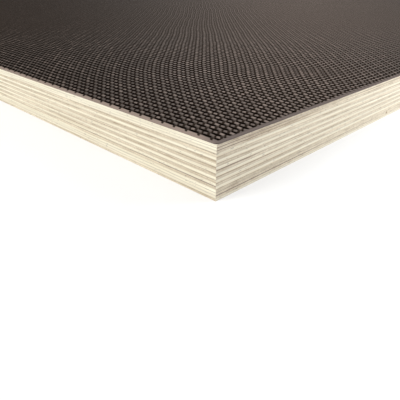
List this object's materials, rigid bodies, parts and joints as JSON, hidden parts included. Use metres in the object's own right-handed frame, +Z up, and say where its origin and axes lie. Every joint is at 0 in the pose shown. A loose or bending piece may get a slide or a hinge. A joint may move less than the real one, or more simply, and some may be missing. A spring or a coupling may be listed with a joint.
{
  "type": "plywood sheet",
  "caption": "Rectangular birch plywood sheet, veneers showing at its sawn edges, with a dark brown film embossed in an anti-slip wire-mesh pattern on top and bare birch underneath.",
  "frame": {"origin": "centre of the underside, so that the sheet lies on the plane Z = 0", "axes": "+X along the length of the sheet and the grain of its face veneers, +Y across its width, +Z up out of the embossed face"},
  "size_m": [2.5, 1.25, 0.024],
  "materials": {
    "mesh_film": "dark brown phenolic film, embossed with a wire-mesh pattern",
    "birch_lengthwise": "birch veneer, grain along the sheet, sawn edge",
    "birch_crosswise": "birch veneer, grain across the sheet, sawn edge"
  },
  "bodies": {
    "root": {"mesh_film": "mesh_film", "veneer_01_lengthwise": "birch_lengthwise", "veneer_02_lengthwise": "birch_lengthwise", "veneer_03_lengthwise": "birch_lengthwise", "veneer_04_crosswise": "birch_crosswise", "veneer_05_lengthwise": "birch_lengthwise", "veneer_06_crosswise": "birch_crosswise", "veneer_07_lengthwise": "birch_lengthwise", "veneer_08_crosswise": "birch_crosswise", "veneer_09_lengthwise": "birch_lengthwise", "veneer_10_crosswise": "birch_crosswise", "veneer_11_lengthwise": "birch_lengthwise", "veneer_12_crosswise": "birch_crosswise", "veneer_13_lengthwise": "birch_lengthwise", "veneer_14_crosswise": "birch_crosswise", "veneer_15_lengthwise": "birch_lengthwise", "veneer_16_lengthwise": "birch_lengthwise", "veneer_17_lengthwise": "birch_lengthwise", "veneer_18_crosswise": "birch_crosswise"}
  },
  "joints": []
}
